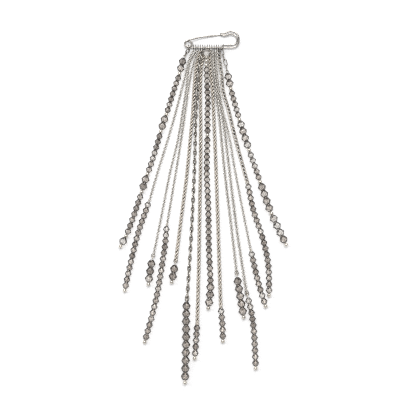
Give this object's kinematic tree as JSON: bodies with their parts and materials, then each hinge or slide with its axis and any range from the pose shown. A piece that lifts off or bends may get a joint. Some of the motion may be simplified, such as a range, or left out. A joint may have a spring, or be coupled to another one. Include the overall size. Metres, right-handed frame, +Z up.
{
  "type": "lapel chain",
  "caption": "Safety-pin brooch with a fan of hanging chains and strings of faceted glass beads, lying flat; the pin's stem swings open at its coil.",
  "frame": {"origin": "middle of the bounding box, on the surface the brooch lies on", "axes": "+X across the strands towards the pin's head, +Y along the strands towards the pin, +Z up"},
  "size_m": [0.1083, 0.2448, 0.0072],
  "materials": {
    "steel": "polished",
    "silver": "polished",
    "smoke_glass": "polished, smoky"
  },
  "bodies": {
    "brooch": {"pin_frame": "steel", "hang_rings": "silver", "top_links": "silver", "end_links": "silver", "bead_cap": "silver", "strand_1_wire": "silver", "strand_2_wire": "silver", "strand_3_wire": "silver", "strand_4_wire": "silver", "strand_5_wire": "silver", "strand_6_wire": "silver", "strand_7_wire": "silver", "strand_8_wire": "silver", "strand_9_wire": "silver", "strand_10_wire": "silver", "strand_11_wire": "silver", "strand_12_wire": "silver", "strand_13_wire": "silver", "strand_14_wire": "silver", "strand_1_beads": "smoke_glass", "strand_2_beads": "smoke_glass", "strand_3_beads": "smoke_glass", "strand_4_beads": "smoke_glass", "strand_5_beads": "smoke_glass", "strand_6_beads": "smoke_glass", "strand_7_beads": "smoke_glass", "strand_8_beads": "smoke_glass", "strand_9_beads": "smoke_glass", "strand_10_beads": "smoke_glass", "strand_11_beads": "smoke_glass", "strand_12_beads": "smoke_glass", "strand_13_beads": "smoke_glass", "strand_14_beads": "smoke_glass", "strand_2_chain": "silver", "strand_3_chain": "silver", "strand_4_chain": "silver", "strand_5_chain": "silver", "strand_6_chain": "silver", "strand_7_chain": "silver", "strand_9_chain": "silver", "strand_10_chain": "silver", "strand_11_chain": "silver", "strand_12_chain": "silver", "strand_13_chain": "silver", "strand_1_spacers": "silver", "strand_8_spacers": "silver", "strand_14_spacers": "silver"},
    "arm": {"pin_arm": "steel"}
  },
  "joints": [
    {"name": "arm_open", "type": "hinge", "parent": "brooch", "child": "arm", "pos_m": [-0.0104, 0.1118, 0.0031], "axis": [0, 0, 1], "range_deg": [0, 35]}
  ]
}
